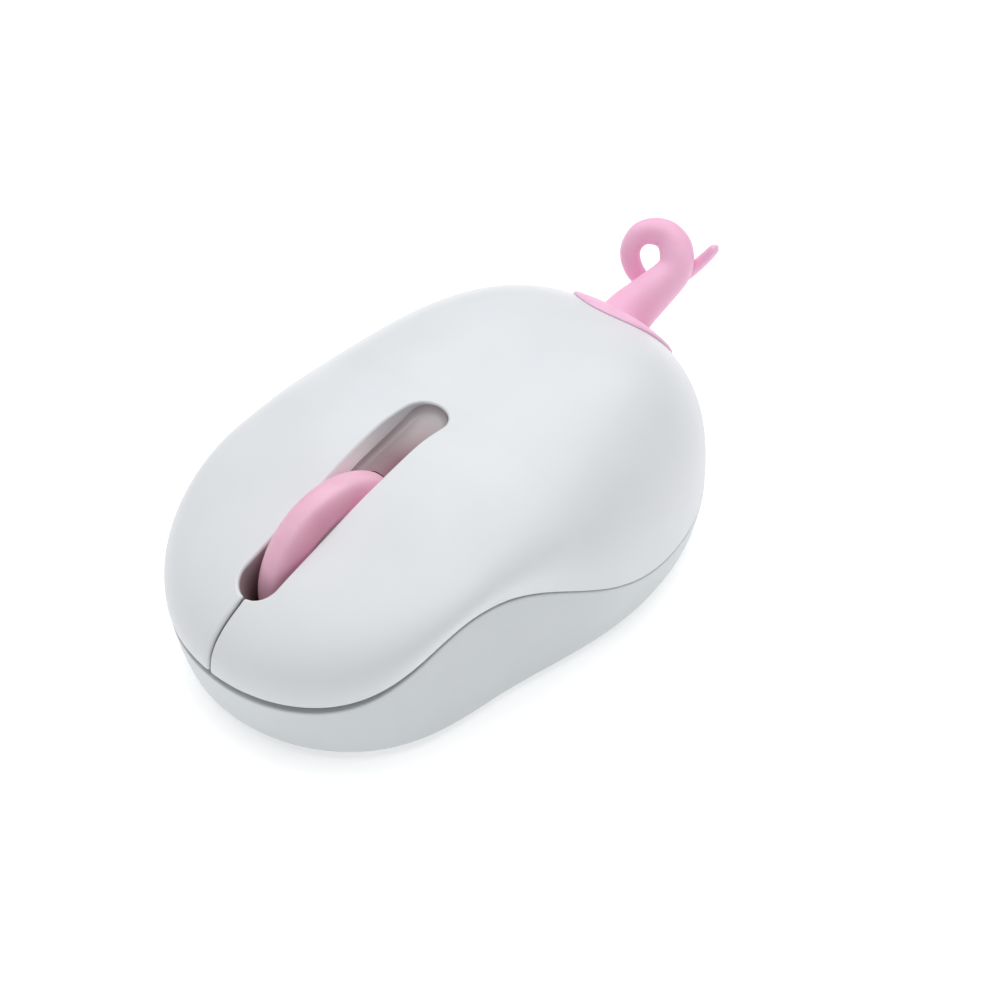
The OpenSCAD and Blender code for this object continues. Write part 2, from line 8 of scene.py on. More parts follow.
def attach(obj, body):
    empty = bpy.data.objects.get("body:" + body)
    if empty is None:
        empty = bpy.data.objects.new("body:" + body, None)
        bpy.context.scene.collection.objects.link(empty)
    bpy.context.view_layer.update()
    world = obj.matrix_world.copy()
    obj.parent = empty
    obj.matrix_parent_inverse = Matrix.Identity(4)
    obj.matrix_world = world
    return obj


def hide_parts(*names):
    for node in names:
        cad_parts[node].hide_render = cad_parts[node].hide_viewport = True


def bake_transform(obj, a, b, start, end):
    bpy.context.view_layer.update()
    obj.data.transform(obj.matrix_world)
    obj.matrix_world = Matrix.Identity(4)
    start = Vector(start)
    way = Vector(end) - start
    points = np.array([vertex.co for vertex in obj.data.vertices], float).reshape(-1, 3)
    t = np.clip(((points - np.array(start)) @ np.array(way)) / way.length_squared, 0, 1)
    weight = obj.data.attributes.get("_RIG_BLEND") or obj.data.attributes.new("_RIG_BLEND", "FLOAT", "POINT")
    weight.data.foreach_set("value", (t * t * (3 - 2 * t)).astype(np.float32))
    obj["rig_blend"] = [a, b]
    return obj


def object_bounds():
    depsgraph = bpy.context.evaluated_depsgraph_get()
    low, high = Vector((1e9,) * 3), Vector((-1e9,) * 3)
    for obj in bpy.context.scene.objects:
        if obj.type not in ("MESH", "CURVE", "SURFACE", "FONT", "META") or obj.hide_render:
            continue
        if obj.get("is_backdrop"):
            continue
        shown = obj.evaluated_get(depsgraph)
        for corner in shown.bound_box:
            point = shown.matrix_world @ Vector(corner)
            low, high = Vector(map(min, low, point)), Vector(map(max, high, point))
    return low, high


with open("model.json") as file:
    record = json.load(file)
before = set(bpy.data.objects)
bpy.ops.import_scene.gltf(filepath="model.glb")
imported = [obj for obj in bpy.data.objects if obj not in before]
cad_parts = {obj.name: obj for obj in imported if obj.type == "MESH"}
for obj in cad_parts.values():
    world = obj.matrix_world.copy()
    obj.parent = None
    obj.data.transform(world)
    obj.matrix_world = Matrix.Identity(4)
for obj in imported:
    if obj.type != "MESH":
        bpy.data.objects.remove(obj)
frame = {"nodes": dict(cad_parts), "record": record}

first_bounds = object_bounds()
MM = 0.001
pi = math.pi

# ---------------------------------------------------------------- shell maths (mm, row frame)
HALF_W, FRONT_L, REAR_L = 29.9, 29.42, 60.0
YC, YW, SW, SZH = -18.57, -19.76, 18.6, 17.7
KF, KR = 2.056, 2.339
NS, NF, NR = 3.0, 2.4, 2.122
LIFT, WALL, SEAM, FLEX_Y = 0.5, 1.7, 0.12, -7.2
SLOT_A, SLOT_C, SLOT_L, SLOT_W = math.radians(16.64), np.array([0, -22.43, 25.72]), 38.44, 6.5
WHEEL_C, WHEEL_R, WHEEL_HW, WHEEL_CROWN = np.array([0, -24.7, 16.4]), 13.1, 3.02, 3.2
WHEEL_P = 3.4                                # how square the crown is
TAIL_C, TAIL_A, FLANGE_R, FLANGE_T = np.array([0, 35.6, 26.45]), math.radians(50.7), 8.95, 0.6


def sgp(c, e):
    return np.sign(c) * np.abs(c) ** e


def kk(u):
    return KF + (KR - KF) * 0.5 * (1 + np.sin(u))


def zpart(u):
    s = np.sin(u)
    return 8.53 - 1.51 * s + 10.39 * np.exp(-((YC + np.where(s < 0, FRONT_L, REAR_L) * s - YW) / SZH) ** 2)


def waist(x, y, q, shift=0.0):
    return x * (1 - q * np.exp(-((y - YW + shift) / SW) ** 2)) * (1 + 0.103 * (y - YC) / 50)


def lower(u, s, er=1.5):
    u, s = np.broadcast_arrays(u, s)
    e = 2 / kk(u)
    c, n, f = sgp(np.cos(u), e), sgp(np.sin(u), e), np.sin(u) < 0
    bl = np.clip(s, 0, 1) ** 0.534
    z = zpart(u) * s
    x0 = c * (HALF_W - 2.4 * (1 - bl))
    y0 = n * np.where(f, FRONT_L - 2.61 * (1 - bl), REAR_L - 0.17 * (1 - bl))
    fil = np.where(z < er, er - np.sqrt(np.clip(er * er - (er - z) ** 2, 0, None)), 0)
    k = 1 - fil / (np.hypot(x0, y0) + 1e-9)
    y = y0 * k + YC
    q = 0.113 * (1 - s) + 0.186 * s
    return np.stack([waist(x0 * k, y, q), y, LIFT + (zpart(u) - LIFT) * s], -1)


def swell(y):
    """Swell of the crown behind the wheel and its dip before the tail."""
    return 2.1 * np.exp(-((y + 12.4) / np.where(y < -12.4, 14.45, 7.3)) ** 2) - 0.91 * np.exp(-((y - 21) / 11.1) ** 2)


def upper(u, v):
    u, v = np.broadcast_arrays(u, v)
    e = 2 / kk(u)
    su = np.sin(u)
    c = HALF_W * sgp(np.cos(u), e)
    n0 = np.where(su < 0, FRONT_L, REAR_L) * sgp(su, e)
    sf, sr = np.where(su < 0, su * su, 0), np.where(su < 0, 0, su * su)
    n = NS * (1 - sf - sr) + NF * sf + NR * sr
    ph = np.clip(v, 0, 1) * pi / 2
    rho, zeta = np.abs(np.cos(ph)) ** (2 / n), np.abs(np.sin(ph)) ** (2 / n)
    y = n0 * rho + YC
    h = 27.42 + 12 * (y - YC) / 48 + 6.29 * ((y - YC) / 48) ** 2
    zp = zpart(u)
    q = 0.186 * (1 - zeta) ** 0.8
    return np.stack([waist(c * rho, y, q, 0.48 * zeta), y, zp + (h - zp) * zeta + swell(y) * zeta ** 6.9], -1)


def invert(x, y, rounds=60):
    """Plan point to (u, v) of the upper shell."""
    k = np.full(np.shape(x), 2.2)
    zeta, u = np.ones(np.shape(x)) * 0.98, np.zeros(np.shape(x))
    yl = (y - YC) / np.where(y < YC, FRONT_L, REAR_L)
    for _ in range(rounds):
        q = 0.186 * np.clip(1 - zeta, 0, 1) ** 0.8
        xl = x / HALF_W / ((1 - q * np.exp(-((y - YW + 0.48 * zeta) / SW) ** 2)) * (1 + 0.103 * (y - YC) / 50))
        u = np.arctan2(sgp(yl, k / 2), sgp(xl, k / 2))
        k = kk(u)
        rho = (np.abs(xl) ** k + np.abs(yl) ** k) ** (1 / k)
        su = np.sin(u)
        sf, sr = np.where(su < 0, su * su, 0), np.where(su < 0, 0, su * su)
        n = NS * (1 - sf - sr) + NF * sf + NR * sr
        ph = np.arccos(np.clip(rho, 0, 1) ** (n / 2))
        zeta = 0.5 * zeta + 0.5 * np.sin(ph) ** (2 / n)
    return u, ph / (pi / 2)


def gap(y):
    t = np.clip((y + 26) / -20.0, 0, 1)
    return SEAM + 0.0145 * np.clip(FLEX_Y - y, 0, None) + 0.55 * t * t * (3 - 2 * t)


def unit(a):
    return a / (np.linalg.norm(a, axis=-1, keepdims=True) + 1e-12)


def surf_normal(f, u, v, du=2e-3, dv=2e-3):
    a = f(u + du, v) - f(u - du, v)
    b = f(u, np.minimum(v + dv, 1)) - f(u, np.maximum(v - dv, 0))
    return unit(np.cross(a, b))


# ---------------------------------------------------------------- mesh helpers
def grid_faces(nr, nc, wrap=False, flip=False):
    f = []
    m = nc if wrap else nc - 1
    for i in range(nr - 1):
        for j in range(m):
            k = (j + 1) % nc
            q = (i * nc + j, i * nc + k, (i + 1) * nc + k, (i + 1) * nc + j)
            f.append(q[::-1] if flip else q)
    return f


def make(name, verts, faces, normals=None, smooth=True):
    me = bpy.data.meshes.new(name)
    me.from_pydata([tuple(map(float, p)) for p in np.asarray(verts) * MM], [], faces)
    me.validate()
    me.update()
    me.shade_smooth() if smooth else None
    o = bpy.data.objects.new(name, me)
    bpy.context.scene.collection.objects.link(o)
    if normals is not None:
        me.normals_split_custom_set_from_vertices([tuple(map(float, n)) for n in normals])
    return o


def set_shade(o, values, name="shade"):
    """One number per vertex that the materials read."""
    at = o.data.attributes.new(name, "FLOAT", "POINT")
    at.data.foreach_set("value", np.asarray(values, dtype=np.float32))


def sharp_by_angle(o, deg=32):
    me = o.data
    me.shade_smooth()
    bm = bmesh.new(); bm.from_mesh(me)
    lim = math.radians(deg)
    for e in bm.edges:
        e.smooth = not (len(e.link_faces) == 2 and e.calc_face_angle(0) > lim)
    bm.to_mesh(me); bm.free()


def vertex_normals(verts, faces, weld_digits=5):
    """Area-weighted normals, shared between vertices at the same place."""
    v = np.asarray(verts)
    key = {}
    idx = np.zeros(len(v), int)
    for i, p in enumerate(np.round(v, weld_digits)):
        idx[i] = key.setdefault((p[0] + 0.0, p[1] + 0.0, p[2] + 0.0), len(key))
    n = np.zeros((len(key), 3))
    f = np.asarray(faces)
    fn = np.cross(v[f[:, 2]] - v[f[:, 0]], v[f[:, 3]] - v[f[:, 1]])
    for c in range(4):
        np.add.at(n, idx[f[:, c]], fn)
    return unit(n)[idx]


# ---------------------------------------------------------------- upper shell
LIP = 0.42
NROW = 84


def half_columns():
    """Points round half of the slot, from the front centre to the rear centre, on the +X side."""
    w, l = SLOT_W / 2 + LIP, SLOT_L / 2 + LIP
    a = np.linspace(-pi / 2, 0, 400)
    front = np.stack([w * np.cos(a), -(l - w) + w * np.sin(a)], -1)
    side = np.stack([np.full(900, w), np.linspace(-(l - w), l - w, 900)], -1)
    b = np.linspace(0, pi / 2, 400)
    rear = np.stack([w * np.cos(b), (l - w) + w * np.sin(b)], -1)
    c = np.concatenate([front[:-1], side, rear[1:]])
    t = np.clip((c[:, 1] + 4) / 12, 0, 1)
    c[:, 0] *= 1 + 0.07 * t * t * (3 - 2 * t)
    return c


def build_upper():
    c = half_columns()
    x, y = c[:, 0], SLOT_C[1] + c[:, 1] * math.cos(SLOT_A)
    u, v = invert(x, y)
    u[0], u[-1] = -pi / 2, pi / 2
    out = upper(u, 0 * u)
    s = np.concatenate([[0], np.cumsum(np.linalg.norm(np.diff(c, axis=0), axis=1))])
    d = np.concatenate([[0], np.cumsum(np.linalg.norm(np.diff(out, axis=0), axis=1))])
    w = s / 0.3 + d / 0.6
    n = int(w[-1])
    t = np.unique(np.concatenate([np.interp([0.02, 0.05, 0.09, 0.14, 0.2, 0.28, 0.38, 0.5, 0.7], c[:300, 0], w[:300]), np.linspace(0, w[-1], n)]))
    cx, cl = np.interp(t, w, c[:, 0]), np.interp(t, w, c[:, 1])
    cx[0] = cx[-1] = 0
    x, y = cx, SLOT_C[1] + cl * math.cos(SLOT_A)
    u, v0 = invert(x, y)
    u[0], u[-1] = -pi / 2, pi / 2
    # outward direction from the slot, in the slope plane
    wl, ll = SLOT_W / 2 + LIP, SLOT_L / 2 + LIP
    ax = np.where(np.abs(cl) > ll - wl, cx, 1.0)
    al = np.where(np.abs(cl) > ll - wl, cl - np.sign(cl) * (ll - wl), 0.0)
    o2 = unit(np.stack([ax, al], -1))
    n_out = np.stack([o2[:, 0], o2[:, 1] * math.cos(SLOT_A), o2[:, 1] * math.sin(SLOT_A)], -1)
    # where the rounded rim begins
    RIM = 0.32
    vv = np.linspace(0, 0.2, 160)
    line = upper(u[None], vv[:, None])
    dist = np.concatenate([np.zeros((1, len(u))), np.cumsum(np.linalg.norm(np.diff(line, axis=0), axis=2), axis=0)])
    ve = np.array([np.interp(RIM, dist[:, j], vv) for j in range(len(u))])
    rows, nrm = [], []
    # slot wall and lip
    S, N = upper(u, v0), surf_normal(upper, u, v0)
    t_in = -n_out
    t_in = unit(t_in - (t_in * N).sum(-1, keepdims=True) * N)
    C = S - LIP * N
    ns = np.array([0, -math.sin(SLOT_A), math.cos(SLOT_A)])
    edge = C + LIP * t_in
    for dep in (7.4, 6.2, 5.0, 4.0, 3.0, 2.0, 1.2, 0.6, 0.2):
        rows.append(edge - dep * ns)
    for ph in np.linspace(90, 0, 15)[:-1]:
        p = math.radians(ph)
        rows.append(C + LIP * (math.sin(p) * t_in + math.cos(p) * N))
    # the open surface
    tt = np.linspace(0, 1, NROW)
    tt = tt * (1 - 0.25 * (1 - tt))
    for q in tt:
        rows.append(upper(u, v0 + (ve - v0) * q))
    # rounded rim and the edge behind it
    E, NE = upper(u, ve), surf_normal(upper, u, ve)
    T = unit(upper(u, 0 * ve) - E)
    T = unit(T - (T * NE).sum(-1, keepdims=True) * NE)
    CE = E - RIM * NE
    for ph in np.linspace(0, 90, 7)[1:]:
        p = math.radians(ph)
        rows.append(CE + RIM * (math.cos(p) * NE + math.sin(p) * T))
    B = CE + RIM * T
    rows.append(B - 1.2 * NE)
    rows.append(B - 1.35 * NE - 0.4 * T)
    rows.append(B - 1.4 * NE - 3.5 * T)
    R = np.array(rows)                                   # rows x columns x 3
    # the split between the buttons: pushed apart, rounded over, with a wall of its own
    dN = np.zeros_like(R)
    a = np.gradient(R, axis=1); b = np.gradient(R, axis=0)
    nn = unit(np.cross(a, b))
    nn *= np.sign((nn[len(rows) // 2, len(u) // 2] * (R[len(rows) // 2, len(u) // 2] - np.array([0, -10, 10]))).sum())
    xx = R[..., 0].copy()
    mask = (np.arange(len(u)) < len(u) // 2)[None] & (R[..., 1] < SLOT_C[1] - 10)
    push = 0.2 * np.exp(-(xx / 1.2) ** 2)
    RS = 0.5
    drop = RS - np.sqrt(np.clip(RS ** 2 - np.clip(RS - xx, 0, None) ** 2, 0, None))
    nn[:, 0] = unit(nn[:, 0] * np.array([0, 1, 1]))
    ease = np.interp(np.arange(len(R)), [0, 22, 30, len(R) - 17, len(R) - 9, len(R)], [0.6, 0.6, 1, 1, 0.5, 0.5])[:, None]
    drop = drop * ease
    run = np.concatenate([[0], np.cumsum(np.linalg.norm(np.diff(R[:, 0], axis=0), axis=1))])
    near = np.exp(-0.5 * ((run[:, None] - run[None]) / 1.1) ** 2) * np.gradient(run)[None]
    slow = unit(near @ nn[:, 0])                         # direction into the joint, turning slowly round the rims
    R = R + mask[..., None] * (-nn * drop[..., None]); R[..., 0] += mask * push
    sink = np.where(np.arange(len(R)) < len(R) - 3, 1.0, 0.0)[:, None]
    side = [R[:, 0] - d * sink * slow for d in (1.5, 0.7, 0.15)]
    R = np.concatenate([np.stack(side, 1), R], axis=1)
    # painted shade: the slot walls darken with depth, much more towards the front of the slot; the lip darkens a
    # little towards the front; the split's walls and the rows under the cover's rim edge are darkened too
    shade_paint = np.zeros(R.shape[:2])
    lv = (R[:9, :, 1] - SLOT_C[1]) * math.cos(SLOT_A) + (R[:9, :, 2] - SLOT_C[2]) * math.sin(SLOT_A)
    front = np.clip((-1 - lv) / 10, 0, 1)
    shallow = np.interp([7.4, 6.2, 5.0, 4.0, 3.0, 2.0, 1.2, 0.6, 0.2], [0, 0.5, 3], [0.0, 0.0, 0.02])[:, None]
    low = np.interp([7.4, 6.2, 5.0, 4.0, 3.0, 2.0, 1.2, 0.6, 0.2], [0, 0.5, 6], [0.42, 0.6, 0.95])[:, None]
    shade_paint[:9] = shallow + (low - shallow) * front
    shade_paint[9:16] = np.linspace(0.12, 0.0, 7)[:, None] * (0.2 + 0.8 * np.clip((-1 - (R[9:16, :, 1] - SLOT_C[1])) / 10, 0, 1))
    m0 = (R[:, 3, 1] < SLOT_C[1] - 10)
    shade_paint[:, :2] = np.where(m0, 0.85, 0)[:, None]; shade_paint[:, 2] = np.where(m0, 0.6, 0)
    shade_paint[-3:] = 0.45
    light_paint = np.zeros(R.shape[:2])                         # painted light: emission that brightens the slot walls and lip, strongest along the middle of the slot and fading to both ends
    lg = (R[:17, :, 1] - SLOT_C[1]) * math.cos(SLOT_A) + (R[:17, :, 2] - SLOT_C[2]) * math.sin(SLOT_A)
    light_paint[:17] = np.interp(lg, [-13, -3, 6, 10, 15], [0, 1, 1, 0.5, 0]) * np.interp(np.arange(17), [9, 16], [1, 0])[:, None]
    light_paint[:, :3] = 0
    return R, shade_paint, light_paint


UP, SHADE_PAINT, LIGHT_PAINT = build_upper()
nr, nc = UP.shape[:2]
Lv = UP.reshape(-1, 3)
Rv = Lv * np.array([-1, 1, 1])
fl = grid_faces(nr, nc, flip=False)
fr = [tuple(reversed(q)) for q in fl]
allv = np.concatenate([Lv, Rv])
allf = fl + [tuple(i + len(Lv) for i in q) for q in fr]
# the outward side faces away from the middle
mid = allf[(nr // 2) * (nc - 1) + nc // 2]
c0 = allv[list(mid)].mean(0); n0 = np.cross(allv[mid[2]] - allv[mid[0]], allv[mid[3]] - allv[mid[1]])
if (n0 * (c0 - np.array([0, -10, 8]))).sum() < 0:
    allf = [tuple(reversed(q)) for q in allf]
VN = vertex_normals(allv, allf)
SHADE_PAINT = np.concatenate([SHADE_PAINT.ravel(), SHADE_PAINT.ravel()]); LIGHT_PAINT = np.concatenate([LIGHT_PAINT.ravel(), LIGHT_PAINT.ravel()])
SEAM_Y = -3.0


def subset(name, keep):
    """Faces whose centre passes keep, as an object with the whole skin's normals."""
    f = [q for q in allf if keep(allv[list(q)].mean(0))]
    used = sorted({i for q in f for i in q})
    m = {i: k for k, i in enumerate(used)}
    o = make(name, allv[used], [tuple(m[i] for i in q) for q in f], VN[used])
    set_shade(o, SHADE_PAINT[used]); set_shade(o, LIGHT_PAINT[used], "light_paint")
    return o


cover = subset("cover_skin", lambda c: c[1] >= SEAM_Y)
left = subset("left_button_skin", lambda c: c[1] < SEAM_Y and c[0] > 0)
right = subset("right_button_skin", lambda c: c[1] < SEAM_Y and c[0] < 0)
bvh = BVHTree.FromPolygons([Vector(p) for p in allv], allf)

# ---------------------------------------------------------------- lower shell
def ring_u(n):
    """Plan angles spaced evenly along the outline."""
    u = np.linspace(-pi, pi, 4001)
    p = lower(u, np.full_like(u, 0.6))
    d = np.concatenate([[0], np.cumsum(np.linalg.norm(np.diff(p, axis=0), axis=1))])
    return np.interp(np.linspace(0, d[-1], n + 1)[:-1], d, u)


def build_lower():
    n = 480
    u = ring_u(n)
    zp = zpart(u)
    p1 = lower(u, 0 * u + 1)
    top = (zp - gap(p1[:, 1]) - LIFT) / (zp - LIFT)
    RIM = 0.3
    rows = []
    se = top - RIM / (zp - LIFT)
    for ph in np.linspace(0, 90, 9):
        rows.append(lower(u, 1.5 * (1 - math.cos(math.radians(ph))) / zp))
    for t in np.linspace(0, 1, 26)[1:]:
        rows.append(lower(u, 1.5 / zp + (se - 1.5 / zp) * t))
    E = rows[-1]
    a = lower(u + 2e-3, se) - lower(u - 2e-3, se)
    T = unit(lower(u, se) - lower(u, se - 0.02))
    NE = unit(np.cross(a, T)); NE = NE * np.sign((NE * (E - np.array([0, -10, 8]))).sum(-1, keepdims=True))
    CE = E - RIM * NE
    for ph in np.linspace(0, 90, 7)[1:]:
        p = math.radians(ph)
        rows.append(CE + RIM * (math.cos(p) * NE + math.sin(p) * T))
    B = CE + RIM * T
    rows.append(B - 1.3 * NE)
    i1 = B - 1.4 * NE; i1[:, 2] -= 0.35
    rows.append(i1)
    for z in (0.6, 0.25):
        q = lower(u, se * z, 0.01); qa = lower(u + 2e-3, se * z, 0.01) - lower(u - 2e-3, se * z, 0.01)
        m = unit(np.stack([qa[:, 1], -qa[:, 0], 0 * qa[:, 0]], -1))
        q = q - WALL * m * np.sign((m * (q - np.array([0, -10, 8]))).sum(-1, keepdims=True))
        rows.append(q)
    fl = rows[-1].copy(); fl[:, 2] = LIFT + 1.8
    rows.append(fl)
    R = np.array(rows)
    v = R.reshape(-1, 3)
    f = grid_faces(len(rows), n, wrap=True)
    f.append(tuple(range(n))[::-1])
    f.append(tuple((len(rows) - 1) * n + j for j in range(n)))
    o = make("base_skin", v, f)
    bm = bmesh.new(); bm.from_mesh(o.data)
    bmesh.ops.recalc_face_normals(bm, faces=bm.faces)
    bm.to_mesh(o.data); bm.free()
    return o


def stadium_pts(x, y, r, n=10):
    pts = []
    for cx, cy, a0 in ((x / 2 - r, y / 2 - r, 0), (-x / 2 + r, y / 2 - r, 90), (-x / 2 + r, -y / 2 + r, 180), (x / 2 - r, -y / 2 + r, 270)):
        for i in range(n + 1):
            a = math.radians(a0 + 90 * i / n)
            pts.append((cx + r * math.cos(a), cy + r * math.sin(a)))
    return pts


def prism(name, pts, z0, z1, centre=(0, 0), flare=0.0):
    n = len(pts)
    g = 1 + flare
    v = [(centre[0] + p[0] * g, centre[1] + p[1] * g, z0) for p in pts] + [(centre[0] + p[0], centre[1] + p[1], z1) for p in pts]
    f = [tuple(range(n))[::-1], tuple(range(n, 2 * n))] + [(i, (i + 1) % n, n + (i + 1) % n, n + i) for i in range(n)]
    return make(name, v, f, smooth=False)


def circle_pts(r, n=40):
    return [(r * math.cos(2 * pi * i / n), r * math.sin(2 * pi * i / n)) for i in range(n)]


CASE = [(22.3, 8), (-22.3, 8), (0, 35.4)]
BAT, REC = (-13, 7), (9.5, 26)


def boolean(o, cutters, op="DIFFERENCE"):
    for c in cutters:
        m = o.modifiers.new("b", "BOOLEAN"); m.operation = op; m.object = c; m.solver = "EXACT"
        bpy.context.view_layer.update()
        dg = bpy.context.evaluated_depsgraph_get()
        me = bpy.data.meshes.new_from_object(o.evaluated_get(dg))
        o.modifiers.clear(); old = o.data; o.data = me; bpy.data.meshes.remove(old)
        bpy.data.objects.remove(c)
    return o


def foot_cutter(side):
    """The recess round one glide foot: a band that follows the outline, cut off straight."""
    u = ring_u(160)
    p = lower(u, 0 * u + 0.2, 0.01)
    a = lower(u + 2e-3, 0 * u + 0.2, 0.01) - lower(u - 2e-3, 0 * u + 0.2, 0.01)
    m = unit(np.stack([a[:, 1], -a[:, 0]], -1)); m *= np.sign((m * (p[:, :2] - np.array([0, -10]))).sum(-1, keepdims=True))
    out, inn = p[:, :2] - 3.54 * m, p[:, :2] - 7.26 * m
    o = prism("f_out", [tuple(t) for t in out], LIFT - 0.6, LIFT + 0.4)
    y0 = 30.94 if side > 0 else -71.0
    b = prism("f_box", [(-18.06, y0), (18.06, y0), (18.06, y0 + 33.62), (-18.06, y0 + 33.62)], LIFT - 0.9, LIFT + 0.7)
    i = prism("f_in", [tuple(t) for t in inn], LIFT - 0.8, LIFT + 0.6)
    for t in (o, b, i):
        bm = bmesh.new(); bm.from_mesh(t.data); bmesh.ops.recalc_face_normals(bm, faces=bm.faces); bm.to_mesh(t.data); bm.free()
    boolean(o, [b], "INTERSECT")
    boolean(o, [i])
    return o


base = build_lower()
cut = [
    prism("c1", stadium_pts(11.2, 46.5, 0.5), LIFT - 1, 3.3, (BAT[0], 7.25)),
    prism("c2", stadium_pts(16.6, 8.1, 1.5), LIFT - 1, 3.3, REC),
    prism("c3", stadium_pts(8.4, 12.4, 3), LIFT - 1, 3.3, (0, 0)),
    prism("c4", stadium_pts(4.4, 8.4, 1.2), LIFT - 1, 3.3, (13, -9)),
    prism("c5", stadium_pts(6.4, 11, 2), LIFT - 1, LIFT + 0.5, (13, -9)),
]
cut += [prism("s%d" % i, circle_pts(2.15), LIFT - 1, 2.8, p) for i, p in enumerate(CASE)]
boolean(base, cut + [foot_cutter(1), foot_cutter(-1)])
sharp_by_angle(base, 38)

# ---------------------------------------------------------------- wheel tyre
def revolve_x(name, profile, centre, n=160):
    prof = np.array(profile)
    a = np.linspace(0, 2 * pi, n + 1)[:-1]
    R = np.stack([np.broadcast_to(prof[:, 1][:, None], (len(prof), n)),
                  centre[1] + prof[:, 0][:, None] * np.cos(a)[None], centre[2] + prof[:, 0][:, None] * np.sin(a)[None]], -1)
    v = R.reshape(-1, 3)
    f = grid_faces(len(prof), n, wrap=True)
    f += [((len(prof) - 1) * n + j, (len(prof) - 1) * n + (j + 1) % n, (j + 1) % n, j) for j in range(n)]
    o = make(name, v, f)
    bm = bmesh.new(); bm.from_mesh(o.data); bmesh.ops.recalc_face_normals(bm, faces=bm.faces); bm.to_mesh(o.data); bm.free()
    return o


def tyre_profile():
    p = [(9.25, -WHEEL_HW + 0.25), (9.35, -WHEEL_HW + 0.06), (9.55, -WHEEL_HW)]
    e = WHEEL_R - WHEEL_CROWN
    p += [(9.72, -WHEEL_HW)]
    for t in np.linspace(-1, 1, 41):
        x = t * WHEEL_HW
        p.append((WHEEL_R - WHEEL_CROWN * abs(t) ** WHEEL_P, x))
    p += [(9.72, WHEEL_HW), (9.55, WHEEL_HW), (9.35, WHEEL_HW - 0.06), (9.25, WHEEL_HW - 0.25)]
    return p


tyre = revolve_x("tyre_skin", tyre_profile(), WHEEL_C)
# painted shade: the tyre turns a darker, deeper pink towards both side edges
side = np.clip((np.abs([p.co.x for p in tyre.data.vertices]) / MM - 1.1) / 1.9, 0, 1)
set_shade(tyre, 0.5 * side * side * (3 - 2 * side))
sharp_by_angle(tyre, 60)

# ---------------------------------------------------------------- tail
CURL = np.array([[0, 34.0, 25.2, 4.5], [0.1, 36.3, 27.2, 3.85], [1.6, 39.7, 30.1, 3.2], [2.75, 43.1, 33.0, 2.7],
  [1.7, 44.6, 35.5, 2.6], [-0.2, 44.8, 37.0, 2.3], [-2.1, 44.0, 37.4, 2.08], [-3.8, 42.7, 36.8, 1.85],
  [-4.5, 41.4, 35.0, 1.6], [-4.3, 41.1, 32.7, 1.55], [-3.3, 41.8, 30.0, 1.45], [-1.9, 43.3, 28.2, 1.22],
  [0.9, 45.2, 28.9, 1.1], [3.6, 46.3, 31.9, 1.0], [5.7, 46.9, 34.9, 0.9], [6.9, 47.15, 36.8, 0.78],
  [7.3, 47.25, 37.35, 0.35]])


def catmull(P, q):
    i = np.minimum(np.floor(q).astype(int), len(P) - 2); t = (q - i)[:, None]
    b, c = P[i], P[i + 1]
    a = np.where((i > 0)[:, None], P[np.maximum(i - 1, 0)], 2 * b - c)
    d = np.where((i < len(P) - 2)[:, None], P[np.minimum(i + 2, len(P) - 1)], 2 * c - b)
    return 0.5 * (2 * b + (c - a) * t + (2 * a - 5 * b + 4 * c - d) * t ** 2 + (3 * b - a - 3 * c + d) * t ** 3)


def smooth_path(P, n):
    q = np.linspace(0, len(P) - 1, n)
    c = catmull(P, q)
    for _ in range(6):                       # even out small kinks, ends stay
        c[1:-1] = 0.25 * c[:-2] + 0.5 * c[1:-1] + 0.25 * c[2:]
    return c


def sweep(name, path, m, cap=True):
    c, r = path[:, :3], path[:, 3]
    t = unit(np.gradient(c, axis=0))
    n = unit(np.cross(t[0], np.array([0.53, -0.54, 0.656])))
    fr = []
    for k in range(len(c)):
        n = unit(n - (n @ t[k]) * t[k]); fr.append((n, np.cross(t[k], n)))
    a = np.linspace(0, 2 * pi, m + 1)[:-1]
    v = np.array([c[k] + r[k] * (np.cos(a)[:, None] * fr[k][0] + np.sin(a)[:, None] * fr[k][1]) for k in range(len(c))]).reshape(-1, 3)
    f = grid_faces(len(c), m, wrap=True)
    # rounded tip
    tip = []
    base_i = (len(c) - 1) * m
    vs = [v]
    prev = base_i
    cnt = len(v)
    for ph in (25, 50, 72):
        p = math.radians(ph)
        ring = c[-1] + t[-1] * r[-1] * math.sin(p) * 0.9 + r[-1] * math.cos(p) * (np.cos(a)[:, None] * fr[-1][0] + np.sin(a)[:, None] * fr[-1][1])
        vs.append(ring)
        f += [(prev + j, prev + (j + 1) % m, cnt + (j + 1) % m, cnt + j) for j in range(m)]
        prev = cnt; cnt += m
    vs.append((c[-1] + t[-1] * r[-1] * 0.92)[None])
    f += [(prev + j, prev + (j + 1) % m, cnt) for j in range(m)]
    f.append(tuple(range(m)))
    v = np.concatenate(vs)
    o = make(name, v, f)
    bm = bmesh.new(); bm.from_mesh(o.data); bmesh.ops.recalc_face_normals(bm, faces=bm.faces); bm.to_mesh(o.data); bm.free()
    return o


tail = sweep("tail_curl", smooth_path(CURL, 220), 48)

xt = np.array([1.0, 0, 0]); zt = np.array([0, math.sin(TAIL_A), math.cos(TAIL_A)]); yt = np.cross(zt, xt)


def on_shell(a, b):
    p = TAIL_C + a * xt + b * yt + 12 * zt
    p[0] += 0.002 if abs(p[0]) < 0.002 else 0.0          # keeps clear of the seam at x = 0
    hit = bvh.ray_cast(Vector(p), Vector(-zt))
    return np.array(hit[0]), np.array(hit[1])


